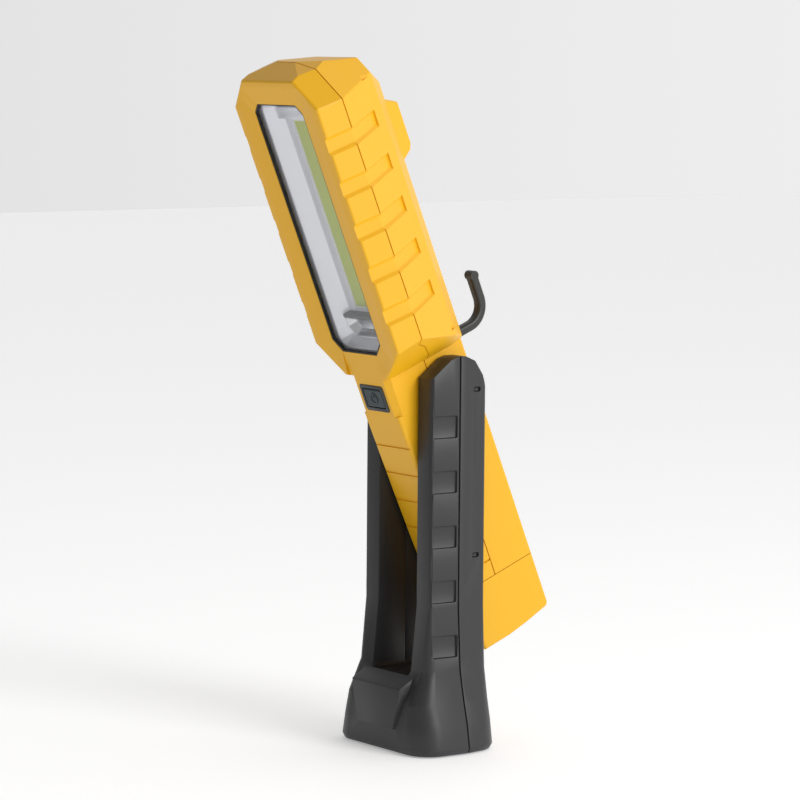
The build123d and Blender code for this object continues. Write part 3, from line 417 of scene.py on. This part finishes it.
def inset_selected(width):
    """Insets the selected faces by a width in millimetres."""
    bpy.ops.mesh.inset(thickness=width * MM)


def press_selected(inset, depth):
    """Insets the selected faces and pushes what is left back, as pressing a sheet does."""
    inset_selected(inset)
    bpy.ops.transform.translate(value=(0, depth * MM, 0))


half = WINDOW_HALF + TRAY_RIM
low, high = WINDOW_LOW - TRAY_RIM, WINDOW_HIGH + TRAY_RIM
tray = new_box("reflector_tray", (-half, tray_front + SKIN, low), (half, tray_floor - SKIN, high))
chamfer_corners(tray, TRAY_CORNER, [(-half, low), (half, low), (-half, high), (half, high)])
select_faces(tray, front_facing(tray_front + SKIN))
inset_selected(2.4)
press_selected(0.3, 0.3)
press_selected(3.6, tray_floor - tray_front - 1.3)
bpy.ops.object.mode_set(mode="OBJECT")
slot_tool = new_box(
    "strip_slot",
    (-strip_half - STRIP_GAP, tray_front - 1, strip_bottom - STRIP_GAP),
    (strip_half + STRIP_GAP, tray_floor + 1, strip_top + STRIP_GAP),
)
cut(tray, slot_tool)
soften(tray, 0.25)
print("tray pressed, faces:", len(tray.data.polygons))

# %% The stepped plate above the strip
STEP_HALF = 13.2
STEP_TOP = 143.6
step = new_box(
    "reflector_step",
    (-STEP_HALF, tray_floor - 3.6, strip_top + 1.2),
    (STEP_HALF, tray_floor - 0.6, STEP_TOP),
)
select_faces(step, lambda centre, normal: normal.y < -0.9)
press_selected(0.9, 0.5)
bpy.ops.object.mode_set(mode="OBJECT")
soften(step, 0.2)
join(tray, step)
finish(tray, "lamp", silvered, replaces=["reflector"])

# %% [markdown]
# The lower end of the tray is a separate bright clip: a plate whose two wings rise to the window, with
# a small ribbed spacer across it. A box with an inset, pushed-in front makes the well, and thin boxes
# repeated along it make the ribs.

# %% The bright end of the tray
WELL_HALF = 12.4
WELL_BOTTOM = 42.6
well_front = tray_floor - 4.2
well = new_box(
    "tray_end_well",
    (-WELL_HALF, well_front, WELL_BOTTOM),
    (WELL_HALF, tray_floor - 0.55, strip_bottom - 1.4),
)
chamfer_corners(well, 4.2, [(-WELL_HALF, WELL_BOTTOM), (WELL_HALF, WELL_BOTTOM)])
select_faces(well, front_facing(well_front))
inset_selected(0.5)
press_selected(2.2, 3.0)
bpy.ops.object.mode_set(mode="OBJECT")
soften(well, 0.2)
finish(well, "lamp", bright_metal)
RIB_COUNT = 13
FIRST_RIB = -11.4
RIB_PITCH = 1.9
RIB_HALF = 0.4
spacer_front = tray_floor - 5.0
spacer = new_box("end_spacer", (-12.2, spacer_front, 51.6), (12.2, tray_floor - 1.0, 52.8))
for index in range(RIB_COUNT):
    x = FIRST_RIB + index * RIB_PITCH
    rib = new_box("rib", (x - RIB_HALF, spacer_front, 51.0), (x + RIB_HALF, tray_floor - 1.6, 51.7))
    join(spacer, rib)
soften(spacer, 0.12, segments=1)
finish(spacer, "lamp", black_plastic)

# %% [markdown]
# ## The light strip
# The strip is a row of light chips under one layer of yellow phosphor gel, kept in by a low white dam
# round its edge. The gel stands a little higher in the middle. We take a plate, inset its front and
# bring the middle forward, then round it over; the dam is a frame, which is a plate with its middle
# pushed through.

# %% Model the strip
DAM_WALL = 0.8
strip_back = strip_high.y / MM
strip = new_box(
    "phosphor_gel",
    (-strip_half + DAM_WALL, strip_front + 0.12, strip_bottom + DAM_WALL),
    (strip_half - DAM_WALL, strip_back, strip_top - DAM_WALL),
)
select_faces(strip, lambda centre, normal: normal.y < -0.9)
press_selected(1.3, -0.10)
bpy.ops.object.mode_set(mode="OBJECT")
soften(strip, 0.3, segments=3, angle=4)
finish(strip, "lamp", phosphor, replaces=["cob_phosphor"])
dam = new_box("strip_dam", (-strip_half, strip_front, strip_bottom), (strip_half, strip_back, strip_top))
dam_middle = new_box(
    "dam_middle",
    (-strip_half + DAM_WALL, -30, strip_bottom + DAM_WALL),
    (strip_half - DAM_WALL, 0, strip_top - DAM_WALL),
)
cut(dam, dam_middle)
soften(dam, 0.15)
finish(dam, "lamp", board_white)

# %% [markdown]
# ## The switch
# The switch is a soft rubber cap in a hard frame. Its face is slightly dished, with a ring and a short
# bar raised on it, which is the usual mark of a power switch. The cap is a rounded plate pressed in at
# its middle. The ring is a turned tube, and the bar is a small rounded box.

# %% Model the switch
button_middle = (button_low + button_high) / 2 / MM
button_front = button_low.y / MM
button_back = button_high.y / MM
CAP_HALF_WIDTH = 6.35
CAP_HALF_HEIGHT = 4.15
cap_front = button_front + 0.15
cap = new_box(
    "switch_cap",
    (-CAP_HALF_WIDTH, cap_front, button_middle.z - CAP_HALF_HEIGHT),
    (CAP_HALF_WIDTH, button_back, button_middle.z + CAP_HALF_HEIGHT),
)
soften(cap, 0.9, segments=4)
select_faces(cap, front_facing(cap_front))
press_selected(0.55, 0.22)
bpy.ops.object.mode_set(mode="OBJECT")
RING_RADIUS = 2.4
RING_BORE = 1.85
BAR_HALF = 0.3
mark_front = button_front + 0.05
mark_back = button_front + 0.9
mark_z = button_middle.z
ring = new_rod("ring", RING_RADIUS, (0, mark_front, mark_z), (0, mark_back, mark_z))
cut(ring, new_rod("bore", RING_BORE, (0, -30, mark_z), (0, 0, mark_z)))
bar = new_box("bar", (-BAR_HALF, mark_front, mark_z + 0.3), (BAR_HALF, mark_back, mark_z + 3.0))
for mark in (ring, bar):
    soften(mark, 0.1)
join(cap, ring, bar)
finish(cap, "switch_button", button_rubber, replaces=["switch_button"])

# %% [markdown]
# ## Screws with a cross recess
# The four screws in the back of the stand have flat-topped heads with a cross recess. One head is
# modelled upright at the origin, and each screw gets a copy with its own mesh. The recess is cut by
# two crossed bars. The heads stand just proud of the plain ones in the frame, so the recess shows.


# %% Model one screw and place its copies
SCREW_X = 17.6
SCREW_HEIGHTS = (37.5, 125.0)
SCREW_RADIUS = 2.6
SCREW_THICK = 1.2
SCREW_PROUD = 0.75   # how far a new head's top stands past the plain one
RECESS_HALF = 0.32


def screw_head(name, radius, thick):
    """A screw head with its top at the origin, looking along +Z."""
    head = new_rod(name, radius, (0, 0, -thick), (0, 0, 0), 40)
    recess_reach = radius * 0.62
    for x, y in ((recess_reach, RECESS_HALF), (RECESS_HALF, recess_reach)):
        cut(head, new_box("recess", (-x, -y, -thick * 0.6), (x, y, 1.0)))
    soften(head, 0.18)
    return head


def place_screws(name, body, points, direction, radius, thick, material):
    """Copies one screw head to each point, turned to look along the direction."""
    pattern = screw_head(name + "_pattern", radius, thick)
    for index, point in enumerate(points):
        piece = pattern.copy()
        piece.data = pattern.data.copy()
        piece.name = piece.data.name = f"{name}_{index + 1}"
        bpy.context.scene.collection.objects.link(piece)
        turn = Vector((0, 0, 1)).rotation_difference(Vector(direction)).to_matrix().to_4x4()
        piece.data.transform(Matrix.Translation(Vector(point) * MM) @ turn)
        finish(piece, body, material, ROW)
    bpy.data.objects.remove(pattern)


head_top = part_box("stand_screws")[1].y / MM + SCREW_PROUD
points = [(x, head_top, z) for x in (-SCREW_X, SCREW_X) for z in SCREW_HEIGHTS]
place_screws(
    "stand_screw_head", "stand", points, (0, 1, 0), SCREW_RADIUS, SCREW_THICK, steel
)
print("stand screw heads at", round(head_top, 2))

# %% [markdown]
# ## Soft edges on the plain mouldings
# The stand's two shells, the frame round the switch, the magnet's cover and the foot's pad are single
# mouldings, so nothing on them has to be drawn again. They only need a small radius on their edges.

# %% Soft copies
soft_copy("stand_front_shell", "stand_front", "stand", stand_dark, 0.45)
soft_copy("stand_rear_shell", "stand_rear", "stand", stand_dark, 0.45)
soft_copy("switch_surround", "switch_frame", "lamp", surround_dark, 0.15)
soft_copy("magnet_cover", "magnet_cover_soft", "lamp", yellow, 0.25)
soft_copy("foot_pad", "foot_pad_soft", "stand", pad_black, 0.25)

# %% [markdown]
# ## Tread under the foot
# Shallow grooves across the rubber pad help it grip a smooth bench. They are cut up into the pad's own
# thickness with slim bars, so the foot still rests on the floor plane.

# %% Cut the tread
GROOVE_COUNT = 7
FIRST_GROOVE = -18.0
GROOVE_PITCH = 5.0
GROOVE_WIDTH = 1.6
GROOVE_DEPTH = 0.5
GROOVE_HALF = 24.0
pad = bpy.data.objects["foot_pad_soft"]
for index in range(GROOVE_COUNT):
    y = FIRST_GROOVE + index * GROOVE_PITCH
    cut(pad, new_box("groove", (-GROOVE_HALF, y, -1.0), (GROOVE_HALF, y + GROOVE_WIDTH, GROOVE_DEPTH)))
print("tread grooves cut, faces now", len(pad.data.polygons))

# %% [markdown]
# ## The studio
# The floor is a wide pale sheet under the foot, which glows a little so that it stays light. The sky
# is white behind the lamp and dimmer in front of it. A large soft light on the right gives the side
# its strong colour, and a weak one in front keeps detail in the shade. The front stays darker than the
# side, which shows the eight-sided shape of the head.

# %% Floor and lights
clear_selection()
bpy.ops.mesh.primitive_plane_add(size=8)
floor = bpy.context.object
floor.name = "floor"
floor_paint = new_material("floor_paint", (0.93, 0.93, 0.93), 0.7)
floor_shader = floor_paint.node_tree.nodes["Principled BSDF"]
floor_shader.inputs["Emission Color"].default_value = (1, 1, 1, 1)
floor_shader.inputs["Emission Strength"].default_value = 0.3
floor.data.materials.append(floor_paint)


def soft_light(name, power, size, position, target=(0, 0, 0.15)):
    """A square soft light that looks at a point."""
    data = bpy.data.lights.new(name, "AREA")
    data.energy = power
    data.size = size
    light = bpy.data.objects.new(name, data)
    bpy.context.scene.collection.objects.link(light)
    run = Vector(target) - Vector(position)
    light.matrix_world = Matrix.Translation(position) @ run.to_track_quat("-Z", "Y").to_matrix().to_4x4()
    return light


soft_light("key", 15.0, 0.7, (1.5, 0.35, 0.75))
soft_light("fill", 1.2, 1.2, (0.2, -1.6, 0.7))
world = bpy.data.worlds.new("studio")
bpy.context.scene.world = world
world.use_nodes = True
sky = world.node_tree.nodes["Background"]
sky.inputs["Color"].default_value = (1, 1, 1, 1)
links = world.node_tree.links
direction = world.node_tree.nodes.new("ShaderNodeTexCoord")
parts = world.node_tree.nodes.new("ShaderNodeSeparateXYZ")
ramp = world.node_tree.nodes.new("ShaderNodeMapRange")
ramp.inputs["From Min"].default_value = -1.0
ramp.inputs["To Min"].default_value = 0.11
ramp.inputs["To Max"].default_value = 1.0
links.new(direction.outputs["Generated"], parts.inputs["Vector"])
links.new(parts.outputs["Y"], ramp.inputs["Value"])
links.new(ramp.outputs["Result"], sky.inputs["Strength"])
bpy.context.scene.view_settings.view_transform = "Standard"
print("lights:", len(bpy.data.lights))

# %% [markdown]
# ## The camera
# A long lens stands well back on the lamp's right, a little above it. Its aim is built from three
# angles: the turn about the upright, the rise above the bench, and a slight roll.

# %% Camera
CAMERA_PLACE = (1.19689, -0.87692, 0.29274)
camera_data = bpy.data.cameras.new("camera")
camera_data.lens = 162.3
camera_data.sensor_width = 36.0
camera_data.clip_start = 0.05
camera_data.clip_end = 20.0
camera = bpy.data.objects.new("camera", camera_data)
bpy.context.scene.collection.objects.link(camera)
TURN = 0.9458846242405534
RAISE = 0.10026361002252729
ROLL = 0.00789870394886207
level_right = Vector((math.cos(TURN), math.sin(TURN), 0))
backward = Vector((math.sin(TURN) * math.cos(RAISE), -math.cos(TURN) * math.cos(RAISE), math.sin(RAISE)))
level_up = backward.cross(level_right)
right = math.cos(ROLL) * level_right + math.sin(ROLL) * level_up
up = math.cos(ROLL) * level_up - math.sin(ROLL) * level_right
pose = Matrix((right, up, backward)).transposed().to_4x4()
pose.translation = Vector(CAMERA_PLACE)
camera.matrix_world = pose
bpy.context.scene.camera = camera
print("camera lens, mm:", round(camera_data.lens, 1))
